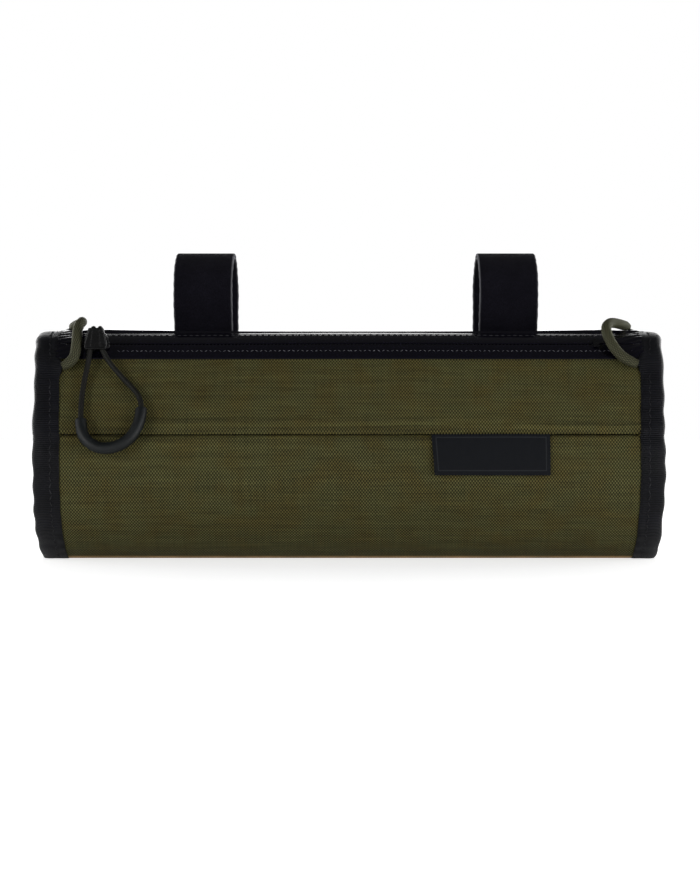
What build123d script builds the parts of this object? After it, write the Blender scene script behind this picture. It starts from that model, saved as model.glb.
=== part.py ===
from build123d import *
import math
import os

# A small tubular bag that straps under a handlebar. Millimetres.
# X runs along the bag, -Y is its front, +Z is up. The bag stands on Z = 0, centred on X = Y = 0.

# ---- the bag's section, in the YZ plane -------------------------------------
belly_radius = 41.0  # the round lower part
belly_height = 39.6  # its centre above the flat that the bag stands on
crown_radius = 24.7  # the round upper edges, where the zip lies
crown_half_flat = 4.0
crown_height = 69.5
seam_tilt = 17.6  # degrees above level, where the front seam crosses the belly
panel_top_tilt = 40.0  # the front panel's upper edge, under the front tape
main_top_tilt = 82.0  # the main panel's front edge, under the rear tape
lining_top_tilt = 38.0

# ---- along the bag ----------------------------------------------------------
panel_end = 116.8
binding_start = 118.05
binding_end = 128.0
mouth_left = -79.0  # the stretch of the front panel that swings when the mouth opens
mouth_right = 85.5
binding_out = 0.8  # how far the binding stands out of the section, and how far in
binding_in = 2.4

# ---- sheet thicknesses and the air between them -----------------------------
fabric = 1.0
foam = 2.5
lining = 0.5
tape = 0.75
strip = 0.6
gap = 0.05
bite = 0.3  # how far joined solids run into each other
slit = 0.2  # along the bag, between the mouth and the ends that stay sewn

# ---- the zip, in degrees of tilt about the crown's centre --------------------
zip_tilt = 51.1
slit_half = 0.9
tape_front_edge = 32.0
tape_rear_edge = 70.0
coil_span = 4.6
coil_depth = 2.0
strip_end_y = 5.0
coil_left = -113.0
coil_right = 103.0
stop_inset = 1.2
stop_size = (2.4, 5.0, 0.8)

# ---- slider and pull --------------------------------------------------------
slider_x = -104.5
plate_length = 10.0
plate_width = 8.2
plate_thickness = 1.4
plate_air = 0.15
plate_taper = 1.9  # how much narrower its far edge is, at each side
plate_corner = 1.3
plate_bevel = 0.35
inner_size = (9.0, 6.0, 1.0)
neck_size = (5.0, 0.5)
bail_height = 5.0  # the bail's bar above the tape
bail_half = 3.4
bail_post = 1.2
bail_radius = 0.65  # its round bar, which the pull's cord goes round
pull_cord_diameter = 2.3
grip_diameter = 4.8
grip_bore = 2.5

# ---- straps, webbing, label, loops ------------------------------------------
bar_radius = 16.0
bar_y = 24.0
bar_z = 112.0
strap_width = 25.0
strap_thickness = 1.2
strap_centres = (-62.3, 67.3)
strap_lean = 20.0  # degrees; how far the front leg leans back under the bar
strap_foot = 30.0  # how far the front leg's line runs on, into the bag's top
strap_back = 38.6  # y of the rear leg's inner face
strap_bottom = 66.0
strap_air = 0.2
tail_bottom = 98.0
webbing_thickness = 1.5
webbing_tilts = (125.0, 180.0)
webbing_inset = 2.0
tunnel_half = 14.0
tunnel_air = 0.4
tack_tilts = (128.0, 176.0)
tack_half = 0.8
tack_height = 0.4
tack_inset = 5.0
tack_beside = 4.0  # from a tunnel's end
tacks_between = (-19.0, 2.5, 24.0)
label_left = 33.0
label_right = 81.0
label_drop = 16.5
label_thickness = 0.8
loop_diameter = 4.4

# The pull's cord: round the bail's bar, down the left leg, along the grip and back up.
pull_route = [
    (-105.85, -23.2, 90.8),
    (-105.85, -20.3, 93.1),
    (-105.85, -22.8, 96.3),
    (-105.9, -26.4, 93.2),
    (-106.5, -27.3, 88.2),
    (-107.4, -29.4, 80.4),
    (-108.7, -32.8, 72.6),
    (-109.3, -36.7, 64.6),
    (-108.95, -41.3, 55.2),
    (-107.2, -43.5, 50.0),
    (-101.6, -44.4, 46.0),
    (-94.4, -44.4, 46.4),
    (-88.2, -43.6, 50.2),
    (-84.7, -40.5, 57.6),
    (-84.7, -36.7, 66.0),
    (-88.9, -33.9, 70.9),
    (-93.6, -31.5, 75.6),
    (-98.6, -29.2, 81.1),
    (-102.2, -27.3, 87.2),
    (-103.1, -26.4, 93.2),
    (-103.15, -22.8, 96.3),
    (-103.15, -20.3, 93.1),
    (-103.15, -23.2, 90.8),
]
grip_first = 8  # the corners of the route that lie inside the grip
grip_last = 13
grip_start_share = 0.73  # how far along its run the grip starts
grip_end_share = 0.56

# The pull's hood, a bell threaded on the cord. Local X along the bag, Y up the cord, Z outwards.
hood_x = -104.4
hood_centre = (-23.15, 93.24)  # the y and z of the bail's bar, which the pull swings round
hood_tilt = 12.5  # degrees that the hanging cord leans out
hood_outline = ((3.1, 1.4), (4.75, -5.2), (4.55, -7.8))  # its right side, from the top
hood_corner = 0.9
hood_back = 1.2
hood_side_back = 2.0  # where its side walls end, over the bail
hood_front = 5.0
hood_wall = 0.75
hood_bevel = 0.45
hood_hollow = -3.9  # it is hollow above this and grips the cord below it
cord_air = 0.1

left_loop_route = [
    (-117.9, -30.3, 79.5),
    (-113.2, -29.8, 81.6),
    (-112.2, -27.5, 88.6),
    (-112.6, -22.0, 96.2),
    (-111.4, -13.5, 99.2),
    (-113.8, -5.0, 98.2),
    (-117.9, 3.0, 97.6),
]
right_loop_route = [
    (117.9, -29.8, 80.4),
    (112.6, -29.0, 82.4),
    (107.6, -26.4, 88.6),
    (105.4, -21.6, 95.6),
    (108.3, -14.5, 98.6),
    (113.8, -6.0, 98.2),
    (117.9, 3.0, 97.6),
]

reach = 120.0  # longer than anything in the section
belly_centre = Vector(0, belly_height)
crown_front = Vector(-crown_half_flat, crown_height)
crown_back = Vector(crown_half_flat, crown_height)


def toward(tilt):
    """The direction in the section that points out of the front, tilted up by degrees."""
    return Vector(-math.cos(math.radians(tilt)), math.sin(math.radians(tilt)))


def shoulder():
    """The large arc that joins the belly to the crown: its centre, radius and upper tilt."""
    step = belly_radius - crown_radius
    between = belly_centre - crown_front
    along = between.dot(toward(seam_tilt))
    extra = (between.length**2 - step**2) / (2 * (step + along))
    centre = belly_centre - toward(seam_tilt) * extra
    out = crown_front - centre
    return centre, belly_radius + extra, math.degrees(math.atan2(out.Y, -out.X))


shoulder_centre, shoulder_radius, shoulder_tilt = shoulder()


def arc(centre, radius, low, high):
    """An arc of the section from one tilt to another."""
    ends = [centre + toward(tilt) * radius for tilt in (low, (low + high) / 2, high)]
    return ThreePointArc(*ends)


def outline(grow):
    """The bag's section as a face, with its outer surface moved outwards by grow."""
    belly = belly_radius + grow
    low = -math.degrees(math.asin((belly_height + grow) / belly))
    front = [
        arc(belly_centre, belly, low, seam_tilt),
        arc(shoulder_centre, shoulder_radius + grow, seam_tilt, shoulder_tilt),
        arc(crown_front, crown_radius + grow, shoulder_tilt, 90),
    ]
    back = [mirror(edge, Plane.YZ) for edge in front]
    top = Line(front[2] @ 1, back[2] @ 1)
    bottom = Line(front[0] @ 0, back[0] @ 0)
    return make_face(Curve() + [*front, top, *back, bottom])


def ring(inner, outer):
    return outline(outer) - outline(inner)


def polygon(*corners):
    return Polygon(*[(c.X, c.Y) for c in corners], align=None)


def wedge(centre, low, high):
    """The part of the section seen from a centre between two tilts, less than 180 apart."""
    middle = (low + high) / 2
    far = [centre + toward(tilt) * reach for tilt in (low, middle, high)]
    return polygon(centre, *far)


def front_sector(low, high):
    """From a tilt at the belly's centre up to a tilt at the front crown's centre."""
    return polygon(
        belly_centre,
        belly_centre + toward(low) * reach,
        crown_front + toward((low + high) / 2) * reach,
        crown_front + toward(high) * reach,
        crown_front,
    )


def along_x(face, low, high):
    return extrude(Plane.YZ.offset(low) * face, high - low)


def mouth_and_ends(face, left, right):
    """A sheet's swinging stretch, and its two ends that stay sewn."""
    middle = along_x(face, mouth_left, mouth_right)
    ends = [
        along_x(face, left, mouth_left - slit),
        along_x(face, mouth_right + slit, right),
    ]
    return middle, ends


# ---- the body ---------------------------------------------------------------
def main_panel():
    face = ring(-fabric, 0) - front_sector(seam_tilt - 2 * gap, main_top_tilt)
    return along_x(face, -panel_end, panel_end)


def front_panel():
    face = ring(-fabric, 0) & front_sector(seam_tilt, panel_top_tilt)
    return mouth_and_ends(face, -panel_end, panel_end)


def mouth_lining():
    outer = -fabric - 2 * gap
    face = ring(outer - lining, outer) & front_sector(seam_tilt + 1.5, lining_top_tilt)
    return along_x(face, mouth_left, mouth_right)


def foam_stiffener():
    outer = -fabric - gap
    face = ring(outer - foam, outer) - front_sector(seam_tilt - 1.5, 100)
    return along_x(face, -panel_end + slit, panel_end - slit)


def body_lining():
    outer = -fabric - foam - 2 * gap
    face = ring(outer - lining, outer) - front_sector(seam_tilt - 2, 64)
    return along_x(face, -panel_end + 1.3, panel_end - 1.3)


def lining_ends():
    face = outline(-fabric - foam - 2 * gap)
    inner, outer = panel_end - 1.2, panel_end - 1.2 + lining
    return [along_x(face, inner, outer), along_x(face, -outer, -inner)]


def end_panel(side):
    low, high = panel_end + gap, binding_start - gap
    return along_x(outline(0), low, high) if side > 0 else along_x(outline(0), -high, -low)


def end_binding(side):
    """Grosgrain folded over the rim where the end panel and the body are sewn together."""
    above_floor = Pos(0, reach / 2) * Rectangle(reach, reach)
    face = (outline(binding_out) & above_floor) - outline(-binding_in)
    low, high = sorted((side * binding_start, side * binding_end))
    return along_x(face, low, high)


# ---- the zip ----------------------------------------------------------------
def zip_side(low, high, coil_low, coil_high):
    """One tape with its coil under the edge: two faces."""
    tape_face = ring(gap, gap + tape) & wedge(crown_front, low, high)
    coil_face = ring(-coil_depth, 0) & wedge(crown_front, coil_low, coil_high)
    return tape_face, coil_face


def zip_front():
    edge = zip_tilt - slit_half
    tape_face, coil_face = zip_side(tape_front_edge, edge, edge - coil_span, edge)
    tapes = mouth_and_ends(tape_face, -panel_end, panel_end)
    coils = mouth_and_ends(coil_face, coil_left, coil_right)
    return tapes, coils


def zip_rear():
    edge = zip_tilt + slit_half
    tape_face, coil_face = zip_side(edge, tape_rear_edge, edge, edge + coil_span)
    return along_x(tape_face, -panel_end, panel_end), along_x(coil_face, coil_left, coil_right)


def zip_plane(x):
    """On the zip's outer face: local X along the bag, local Y up the slope, local Z outwards."""
    out = toward(zip_tilt)
    at = crown_front + out * (crown_radius + gap + tape)
    return Plane(origin=(x, at.X, at.Y), x_dir=(1, 0, 0), z_dir=(0, out.X, out.Y))


def zip_end_stops():
    stop = Pos(0, 0, stop_size[2] / 2 + plate_air) * Box(*stop_size)
    return [zip_plane(x) * stop for x in (coil_left + stop_inset, coil_right - stop_inset)]


def zip_slider():
    """A plate outside and one inside, joined by a thin neck in the slit, with a bail on top."""
    half, low, high = plate_length / 2, -plate_width / 2, plate_width / 2
    narrow = half - plate_taper
    shape = Polygon((-half, low), (half, low), (narrow, high), (-narrow, high), align=None)
    shape = fillet(shape.vertices(), plate_corner)
    outer = Pos(0, 0, plate_air) * extrude(shape, plate_thickness)
    outer = chamfer(outer.faces().sort_by(Axis.Z)[-1].edges(), plate_bevel)
    under = tape + coil_depth + gap + plate_air
    inner = Pos(0, 0, -under - inner_size[2] / 2) * Box(*inner_size)
    neck = Pos(-1, 0, (plate_air - under) / 2) * Box(*neck_size, under + 2 * bite)
    return zip_plane(slider_x) * (outer + inner + neck + bail())


def bail():
    """A round bar on two posts that stand on the slider's plate."""
    foot = plate_air + plate_thickness - bite
    posts = [Pos(x, 0, (bail_height + foot) / 2) * Box(bail_post, bail_post, bail_height - foot)
             for x in (-bail_half, bail_half)]
    bar = Pos(0, 0, bail_height) * Rot(0, 90, 0) * Cylinder(bail_radius, 2 * bail_half + bail_post)
    return posts[0] + posts[1] + bar


# ---- cords ------------------------------------------------------------------
def corner_radii(route):
    """The largest arc that each corner's two runs leave room for."""
    points = [Vector(*p) for p in route]
    radii = []
    for before, corner, after in zip(points, points[1:], points[2:]):
        turn = math.radians((corner - before).get_angle(after - corner))
        shorter = min((corner - before).length, (after - corner).length)
        radii.append(0.45 * shorter / math.tan(turn / 2))
    return radii


def tube(route, radii, outer, bore=0.0):
    """A round cord or sleeve along straight runs joined by tangent arcs."""
    path = FilletPolyline(*route, radius=radii)
    section = Circle(outer / 2) - Circle(bore / 2) if bore else Circle(outer / 2)
    start = Plane(origin=path @ 0, z_dir=path % 0)
    solid = sweep(start * section, path=path)
    share = solid.volume / (section.area * path.length)
    print("  length", round(path.length, 1), "volume share", round(share, 4))
    return solid


def cord(name, route, diameter):
    radii = corner_radii(route)
    print(name, "radii", [round(r, 1) for r in radii])
    return tube(route, radii, diameter)


def part_way(start, end, share):
    return tuple(a + (b - a) * share for a, b in zip(start, end))


def pull_grip():
    """The moulded sleeve along the bottom of the pull's cord."""
    radii = corner_radii(pull_route)[grip_first - 1 : grip_last]
    first = part_way(pull_route[grip_first - 1], pull_route[grip_first], grip_start_share)
    last = part_way(pull_route[grip_last], pull_route[grip_last + 1], grip_end_share)
    route = [first, *pull_route[grip_first : grip_last + 1], last]
    return tube(route, radii, grip_diameter, grip_bore)


def pull_hood():
    """A moulded bell that covers the bail and grips both legs of the pull's cord below it."""
    lean = math.radians(hood_tilt)
    plane = Plane(origin=(hood_x, *hood_centre), x_dir=(1, 0, 0), z_dir=(0, -math.cos(lean), math.sin(lean)))
    left = [(-x, y) for x, y in hood_outline]
    shape = Polygon(*left, *reversed(hood_outline), align=None)
    shape = fillet(shape.vertices(), hood_corner)
    bell = Pos(0, 0, hood_back) * extrude(shape, hood_front - hood_back)
    bell = chamfer(bell.faces().sort_by(Axis.Z)[-1].edges(), hood_bevel)
    (top, top_y), (low, low_y) = hood_outline[:2]
    room = [top + (low - top) * (top_y - y) / (top_y - low_y) - hood_wall for y in (hood_hollow, 3.0)]
    inner = Polygon((-room[0], hood_hollow), (room[0], hood_hollow), (room[1], 3.0), (-room[1], 3.0), align=None)
    hollow = Pos(0, 0, -2) * extrude(inner, 2 + hood_front - hood_wall)
    behind = Pos(0, hood_hollow + 5, 0) * Box(20, 10, 2 * hood_side_back)
    bores = tube(pull_route, corner_radii(pull_route), pull_cord_diameter + 2 * cord_air)
    return plane * (bell - hollow - behind) - bores


# ---- straps and webbing -----------------------------------------------------
def strap_space(grow):
    """What a strap encloses, grown by a distance: round the bar and down to the bag's back."""
    centre, radius = Vector(bar_y, bar_z), bar_radius + grow
    lean = centre + toward(-strap_lean) * radius
    foot = lean + toward(-90 - strap_lean) * strap_foot
    back = centre + Vector(radius, 0)
    low = strap_bottom - grow
    corner = Vector(strap_back + grow, low)
    legs = polygon(centre, lean, foot, Vector(foot.X, low), corner, back)
    disc = Pos(centre.X, centre.Y) * Circle(radius)
    return (disc + legs) - outline(strap_air + strap_thickness - grow)


def strap_band(x):
    face = strap_space(strap_thickness) - strap_space(0)
    return along_x(face, x - strap_width / 2, x + strap_width / 2)


def strap_tail(x):
    """The free end, stuck over the front leg from the top of the loop."""
    start = strap_thickness + gap
    face = strap_space(start + strap_thickness) - strap_space(start)
    front = Pos(bar_y - reach / 2, tail_bottom + reach / 2) * Rectangle(reach, reach)
    return along_x(face & front, x - strap_width / 2, x + strap_width / 2)


def rear_webbing():
    """A ladder of webbing: flat on the back, raised where a strap passes under it."""
    region = wedge(crown_back, *webbing_tilts)
    low = strap_thickness + tunnel_air
    raised_face = ring(low, low + webbing_thickness) & region
    flat_face = ring(2 * gap, 2 * gap + webbing_thickness) & region
    riser_face = ring(2 * gap, low + webbing_thickness) & region
    parts, at = [], -panel_end + webbing_inset
    for centre in strap_centres:
        for low_x, high_x, face in (
            (at, centre - tunnel_half, flat_face),
            (centre - tunnel_half - webbing_thickness, centre - tunnel_half, riser_face),
            (centre - tunnel_half, centre + tunnel_half, raised_face),
            (centre + tunnel_half, centre + tunnel_half + webbing_thickness, riser_face),
        ):
            parts.append(along_x(face, low_x, high_x))
        at = centre + tunnel_half
    parts.append(along_x(flat_face, at, panel_end - webbing_inset))
    return parts[0].fuse(*parts[1:])


def webbing_bartacks():
    """Dense bars of stitching across the webbing, each side of a tunnel and at its ends."""
    start = 2 * gap + webbing_thickness + gap
    face = ring(start, start + tack_height) & wedge(crown_back, *tack_tilts)
    places = [tack_inset - panel_end, *tacks_between, panel_end - tack_inset]
    for centre in strap_centres:
        places += [centre - tunnel_half - tack_beside, centre + tunnel_half + tack_beside]
    return [along_x(face, x - tack_half, x + tack_half) for x in sorted(places)]


def top_strip():
    """The coated strip over the top edge, from the rear tape to the straps."""
    region = polygon(
        crown_front,
        crown_front + toward(tape_rear_edge + 0.3) * reach,
        Vector(strip_end_y, crown_height + reach),
        Vector(strip_end_y, crown_height),
    )
    return along_x(ring(gap, gap + strip) & region, -panel_end, panel_end)


def label_tab():
    seam_height = belly_radius * math.sin(math.radians(seam_tilt))
    low = math.degrees(math.asin((seam_height - label_drop) / belly_radius))
    face = ring(2 * gap, 2 * gap + label_thickness) & wedge(belly_centre, low, seam_tilt - 0.3)
    return along_x(face, label_left, label_right)


def node(name, *solids):
    """Write one named piece, or one group of like pieces."""
    shapes = [s for shape in solids for s in shape.solids()]
    whole = shapes[0] if len(shapes) == 1 else Compound(children=shapes)
    export_step(whole, f"parts/{name}.step")


def main():
    os.makedirs("parts", exist_ok=True)
    node("main_panel", main_panel())
    middle, ends = front_panel()
    node("front_panel", middle)
    node("front_panel_ends", *ends)
    node("mouth_lining", mouth_lining())
    node("foam_stiffener", foam_stiffener())
    node("body_lining", body_lining())
    node("lining_ends", *lining_ends())
    (tape_middle, tape_ends), (coil_middle, coil_ends) = zip_front()
    node("zip_tape_front", tape_middle)
    node("zip_tape_front_ends", *tape_ends)
    node("zip_coil_front", coil_middle)
    node("zip_coil_front_ends", *coil_ends)
    rear_tape, rear_coil = zip_rear()
    node("zip_tape_rear", rear_tape)
    node("zip_coil_rear", rear_coil)
    node("zip_end_stops", *zip_end_stops())
    node("zip_slider", zip_slider())
    node("zip_pull_cord", cord("zip_pull_cord", pull_route, pull_cord_diameter))
    node("zip_pull_grip", pull_grip())
    node("zip_pull_hood", pull_hood())
    node("top_strip", top_strip())
    node("rear_webbing", rear_webbing())
    node("webbing_bartacks", *webbing_bartacks())
    node("label_tab", label_tab())
    loops = (left_loop_route, right_loop_route)
    for side, sign, x, route in zip(("left", "right"), (-1, 1), strap_centres, loops):
        node(f"end_panel_{side}", end_panel(sign))
        node(f"end_binding_{side}", end_binding(sign))
        node(f"strap_band_{side}", strap_band(x))
        node(f"strap_tail_{side}", strap_tail(x))
        node(f"cord_loop_{side}", cord(f"cord_loop_{side}", route, loop_diameter))


main()
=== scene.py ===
import math

import bpy
import numpy as np
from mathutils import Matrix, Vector

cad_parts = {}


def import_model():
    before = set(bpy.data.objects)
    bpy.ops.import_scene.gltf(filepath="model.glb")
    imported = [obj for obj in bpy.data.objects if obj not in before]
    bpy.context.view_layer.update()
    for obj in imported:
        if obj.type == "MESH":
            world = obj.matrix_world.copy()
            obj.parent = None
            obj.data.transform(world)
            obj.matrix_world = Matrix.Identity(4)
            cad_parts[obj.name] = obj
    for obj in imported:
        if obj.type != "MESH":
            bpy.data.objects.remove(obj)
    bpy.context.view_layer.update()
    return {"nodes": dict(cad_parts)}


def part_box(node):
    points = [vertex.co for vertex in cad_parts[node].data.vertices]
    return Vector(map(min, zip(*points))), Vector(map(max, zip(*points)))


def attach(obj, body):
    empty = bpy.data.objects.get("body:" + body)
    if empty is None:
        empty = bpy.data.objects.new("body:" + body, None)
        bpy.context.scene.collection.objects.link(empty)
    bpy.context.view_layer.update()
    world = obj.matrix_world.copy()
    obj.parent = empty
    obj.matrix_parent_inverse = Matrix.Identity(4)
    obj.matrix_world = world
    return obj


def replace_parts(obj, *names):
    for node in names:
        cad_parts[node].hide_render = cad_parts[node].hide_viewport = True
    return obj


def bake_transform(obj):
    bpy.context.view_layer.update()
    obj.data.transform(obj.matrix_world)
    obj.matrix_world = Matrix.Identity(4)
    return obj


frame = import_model()
MM = 0.001

# A tubular zipped bag. X runs along it, -Y is its front, +Z is up. Lengths are in metres.
# A place on its skin is (x, s, g): s is the distance round the section from the middle of the top,
# forwards and down over the front, and g is how far the place stands off the skin.

# ---- the section ---------------------
panel_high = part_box("main_panel")[1]
PANEL_END = panel_high.x
TOP = panel_high.z
BELLY = panel_high.y
CROWN = 24.7 * MM  # radius of the corners between the top and the sides
CROWN_FLAT = 4.0 * MM  # half the flat along the top
BELLY_Z = 39.6 * MM
SEAM_TILT = 17.6
CORNER = 1.5 * MM  # half the stretch over which the skin turns into the flat underside


def toward(tilt):
    a = math.radians(tilt)
    return np.array((-math.cos(a), math.sin(a)))


def shoulder_arc():
    """The radius and the upper tilt of the arc between the belly and the crown."""
    between = np.array((CROWN_FLAT, BELLY_Z - (TOP - CROWN)))
    step = BELLY - CROWN
    extra = (between @ between - step**2) / (2 * (step + between @ toward(SEAM_TILT)))
    out = toward(SEAM_TILT) * extra - between
    return BELLY + extra, math.degrees(math.atan2(out[1], -out[0]))


SHOULDER, SHOULDER_TILT = shoulder_arc()
BOTTOM_TILT = -math.degrees(math.asin(BELLY_Z / BELLY))
CROWN_LENGTH = CROWN * math.radians(90 - SHOULDER_TILT)
SEAM = CROWN_FLAT + CROWN_LENGTH + SHOULDER * math.radians(SHOULDER_TILT - SEAM_TILT)
BELLY_END = SEAM + BELLY * math.radians(SEAM_TILT - BOTTOM_TILT)
HALF_GIRTH = BELLY_END + math.sqrt(BELLY**2 - BELLY_Z**2)
GIRTH = 2 * HALF_GIRTH

STOPS = [0, CROWN_FLAT, CROWN_FLAT + CROWN_LENGTH, SEAM, BELLY_END - CORNER, BELLY_END + CORNER, HALF_GIRTH]
TILTS = [90, 90, SHOULDER_TILT, SEAM_TILT, BOTTOM_TILT + math.degrees(CORNER / BELLY), -90, -90]
walk = np.linspace(0, HALF_GIRTH, 4001)
walk_tilt = np.radians(np.interp(walk, STOPS, TILTS))
step_tilt = (walk_tilt[1:] + walk_tilt[:-1]) / 2
walk_y = -np.concatenate([[0], np.cumsum(np.sin(step_tilt) * walk[1])])
walk_z = TOP - np.concatenate([[0], np.cumsum(np.cos(step_tilt) * walk[1])])
walk_z -= walk_z[-1] * np.clip((walk - SEAM) / (HALF_GIRTH - SEAM), 0, 1)


def smooth(t):
    t = np.clip(t, 0, 1)
    return t * t * (3 - 2 * t)


def hump(d, width):
    return np.exp(-((d / width) ** 2))


def wrapped(s):
    return (s + HALF_GIRTH) % GIRTH - HALF_GIRTH


def section(s):
    """Y and Z of the skin and of its outward normal."""
    s = wrapped(s)
    side, far = np.where(s < 0, -1.0, 1.0), np.abs(s)
    tilt = np.interp(far, walk, walk_tilt)
    y, z = np.interp(far, walk, walk_y), np.interp(far, walk, walk_z)
    return side * y, z, -side * np.cos(tilt), np.sin(tilt)


def front_tilt(tilt):
    """s where the front crown has that tilt, in degrees."""
    return CROWN_FLAT + CROWN * math.radians(90 - tilt)


def at_height(z):
    """s on the front where the skin is that high. Minus it is the same height on the back."""
    return float(np.interp(-z, -walk_z, walk))


def ripple(x, s):
    """How far the sewn cloth stands off its pattern: slow waves, and pleats beside the bindings."""
    s = wrapped(s)
    slow = np.sin(x / 0.031 + 1.3) * np.sin(s / 0.024 + 0.7) + 0.6 * np.sin(x / 0.047 + s / 0.035 + 4)
    beside = np.exp(-np.abs(np.abs(x) - PANEL_END) / 0.004)
    pleats = np.sin(s / 0.0014 + 2.5 * np.sin(s / 0.009) + np.sign(x)) * beside
    calm = smooth((HALF_GIRTH - np.abs(s) - 9 * MM) / (18 * MM))
    return (0.2 * MM * slow + 0.22 * MM * pleats) * calm


def place(x, s, g):
    """Points off the skin, as an array whose last axis is X, Y, Z."""
    x, s, g = np.broadcast_arrays(x, s, g)
    y, z, ny, nz = section(s)
    g = g + ripple(x, s)
    return np.stack([x, y + g * ny, z + g * nz], axis=-1)


def normals(x, s):
    _, _, ny, nz = section(s)
    return np.stack(np.broadcast_arrays(0.0 * x, ny, nz), axis=-1)


# ---- building meshes -----------------
def put(name, data):
    """An object in the scene."""
    made = bpy.data.objects.new(name, data)
    bpy.context.scene.collection.objects.link(made)
    return made


def angles(count):
    """Angles evenly round a circle."""
    return np.linspace(0, 2 * math.pi, count, endpoint=False)


def unit(vectors):
    return vectors / np.linalg.norm(vectors, axis=-1, keepdims=True)


def grid(points, u, v, close_i=False, close_j=False, base=0):
    """Quads over an array of points, with a UV for each corner. A closed way has one more u or v."""
    n, m = points.shape[:2]
    ways = np.arange(n if close_i else n - 1), np.arange(m if close_j else m - 1)
    i, j = [k.ravel() for k in np.meshgrid(*ways, indexing="ij")]
    corner = [(i, j), (i + 1, j), (i + 1, j + 1), (i, j + 1)]
    faces = np.stack([(a % n) * m + b % m for a, b in corner], axis=1) + base
    u, v = np.asarray(u, float), np.asarray(v, float)
    uvs = np.stack([np.stack([u[a], v[b]], axis=1) for a, b in corner], axis=1)
    return points.reshape(-1, 3), faces.tolist(), uvs.reshape(-1, 2)


def build(name, shells, look, sharp=50):
    """One mesh object of several shells, each (points, faces, corner UVs)."""
    points, faces, uvs, base = [], [], [], 0
    for shell_points, shell_faces, shell_uvs in shells:
        points.append(shell_points)
        faces += [[k + base for k in face] for face in shell_faces]
        uvs.append(shell_uvs)
        base += len(shell_points)
    mesh = bpy.data.meshes.new(name)
    mesh.from_pydata(np.concatenate(points).tolist(), [], faces)
    mesh.uv_layers.new(name="cloth").data.foreach_set("uv", np.concatenate(uvs).ravel())
    mesh.shade_smooth()
    mesh.set_sharp_from_angle(angle=math.radians(sharp))
    mesh.materials.append(look)
    return put(name, mesh)


def ring_caps(rings, u, v):
    """Faces that close both ends of a sheet whose rings go out along one face and back along the other."""
    n, m = rings.shape[:2]
    faces, uvs = [], []
    for i, order in ((0, 1), (n - 1, -1)):
        for j in range(m // 2 - 1):
            corners = (j, j + 1, m - 2 - j, m - 1 - j)[::order]
            faces.append([i * m + k for k in corners])
            uvs += [(u[i], v[k]) for k in corners]
    return faces, np.array(uvs)


def sheet_shell(xs, ss, thick, lift, x_shift=None):
    """A closed thin sheet over the skin: lift(x, s) is its outer face, and its rims are rounded."""
    x, s = np.meshgrid(xs, ss, indexing="ij")
    outer, rim = lift(x, s) + 0 * x, np.zeros_like(x)
    rim[:, [0, -1]] = 0.3 * thick
    rim[abs(x) == abs(xs).max()] = 0.3 * thick
    moved = x if x_shift is None else x + x_shift(x, s)
    top, bottom = place(moved, s, outer - rim), place(moved, s, outer - thick + rim)
    rings = np.concatenate([top, bottom[:, ::-1]], axis=1)
    v = np.concatenate([ss, ss[::-1], ss[:1]])
    points, faces, uvs = grid(rings, xs, v, close_j=True)
    cap_faces, cap_uvs = ring_caps(rings, xs, v)
    return points, faces + cap_faces, np.concatenate([uvs, cap_uvs])


def frames_along(path):
    """Two unit vectors across a path at each point, that turn as little as they can."""
    ahead = unit(np.gradient(path, axis=0))
    across = np.cross(ahead[0], (1.0, 0, 0) if abs(ahead[0][0]) < 0.8 else (0, 1.0, 0))
    first = []
    for direction in ahead:
        across = across - direction * (across @ direction)
        across /= np.linalg.norm(across)
        first.append(across)
    first = np.array(first)
    return first, np.cross(ahead, first)


def along(path):
    return np.concatenate([[0], np.cumsum(np.linalg.norm(np.diff(path, axis=0), axis=1))])


def circles(path, sides):
    """Unit circles across a path, one at each point."""
    first, second = frames_along(path)
    angle = angles(sides)[None, :, None]
    return first[:, None] * np.cos(angle) + second[:, None] * np.sin(angle)


def end_faces(count, sides):
    """The polygons that close the first and the last ring of a shell."""
    return [list(range(sides)), list(range(count - sides, count))[::-1]]


def tube_shell(path, radii, sides):
    """A tube round a path, closed at both ends. radii is (points, sides)."""
    rings = path[:, None] + circles(path, sides) * radii[:, :, None]
    u, v = along(path), np.linspace(0, 1, sides + 1)
    points, faces, uvs = grid(rings, np.append(u, u[-1]), v, close_j=True)
    faces += end_faces(len(points), sides)
    end_uvs = [(u[0], t) for t in v[:-1]] + [(u[-1], t) for t in v[:-1]][::-1]
    return points, faces, np.concatenate([uvs, end_uvs])


def stitch_shell(starts, ends, outs, radius, rise):
    """Many short arched stitches, each from a start to an end, rising outwards in the middle."""
    share = np.array([0, 0.18, 0.5, 0.82, 1.0])
    thick = np.array([0.45, 0.95, 1.0, 0.95, 0.45]) * radius
    sides, size = 6, 30  # points round a stitch, and in the whole of it
    angle = angles(sides)
    run = ends - starts
    side, up = unit(np.cross(run, outs)), unit(outs)
    middle = starts[:, None] + run[:, None] * share[None, :, None]
    middle = middle + up[:, None] * (rise * np.sin(math.pi * share))[None, :, None]
    ring = (side[:, None, None] * np.cos(angle)[None, None, :, None]
            + up[:, None, None] * np.sin(angle)[None, None, :, None])
    points = middle[:, :, None] + ring * thick[None, :, None, None]
    faces, uvs = [], []
    for k in range(len(starts)):
        at, v = k * size, np.linspace(0, 1, sides + 1)
        _, quads, corner = grid(points[k], share * 2 * MM, v, close_j=True, base=at)
        faces += quads + [[at + c for c in face] for face in end_faces(size, sides)]
        uvs.append(np.concatenate([corner, np.zeros((2 * sides, 2))]))
    return points.reshape(-1, 3), faces, np.concatenate(uvs)


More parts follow.
